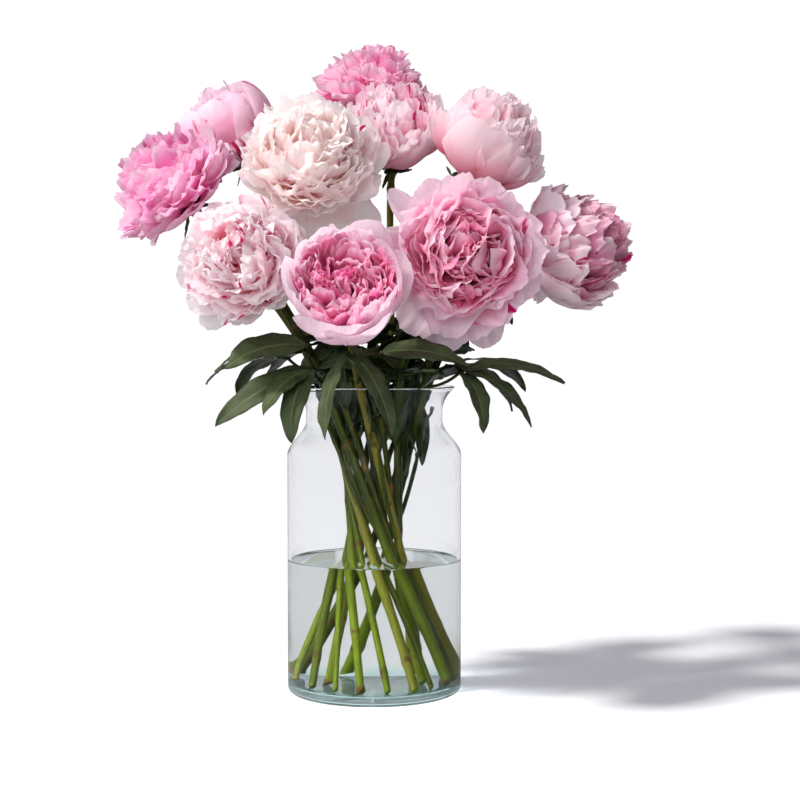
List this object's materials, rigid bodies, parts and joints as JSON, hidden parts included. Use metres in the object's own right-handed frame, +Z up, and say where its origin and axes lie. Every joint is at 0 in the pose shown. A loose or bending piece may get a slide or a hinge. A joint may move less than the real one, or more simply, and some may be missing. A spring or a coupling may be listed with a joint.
{
  "type": "peonies in a vase",
  "caption": "Double peonies in shades of pink on leafy green stems, standing in water in a clear glass vase with a straight round body, a sloped shoulder and a flared neck.",
  "frame": {"origin": "middle of the vase's flat foot, on the surface that it stands on", "axes": "+Z up along the vase's axis; -Y is the side that the bouquet is arranged to be seen from, +X to the right of it"},
  "size_m": [0.5063, 0.3862, 0.6608],
  "materials": {
    "glass": "clear, polished",
    "water": "clear, still water",
    "leafy_stem": "smooth, slightly glossy leaf and stem skin",
    "rose_petals": "soft, matt, bright rose pink",
    "soft_petals": "soft, matt, light pink",
    "pale_petals": "soft, matt, pale pink",
    "blush_petals": "soft, matt, blush white",
    "mauve_petals": "soft, matt, mauve pink"
  },
  "bodies": {
    "root": {"vase": "glass", "water": "water", "stem_top": "leafy_stem", "stem_upper_left": "leafy_stem", "stem_left": "leafy_stem", "stem_centre": "leafy_stem", "stem_upper_centre": "leafy_stem", "stem_upper_right": "leafy_stem", "stem_lower_left": "leafy_stem", "stem_front": "leafy_stem", "stem_lower_right": "leafy_stem", "stem_right": "leafy_stem", "bloom_top": "rose_petals", "bloom_upper_left": "soft_petals", "bloom_left": "rose_petals", "bloom_centre": "blush_petals", "bloom_upper_centre": "soft_petals", "bloom_upper_right": "pale_petals", "bloom_lower_left": "pale_petals", "bloom_front": "rose_petals", "bloom_lower_right": "soft_petals", "bloom_right": "mauve_petals"}
  },
  "joints": []
}
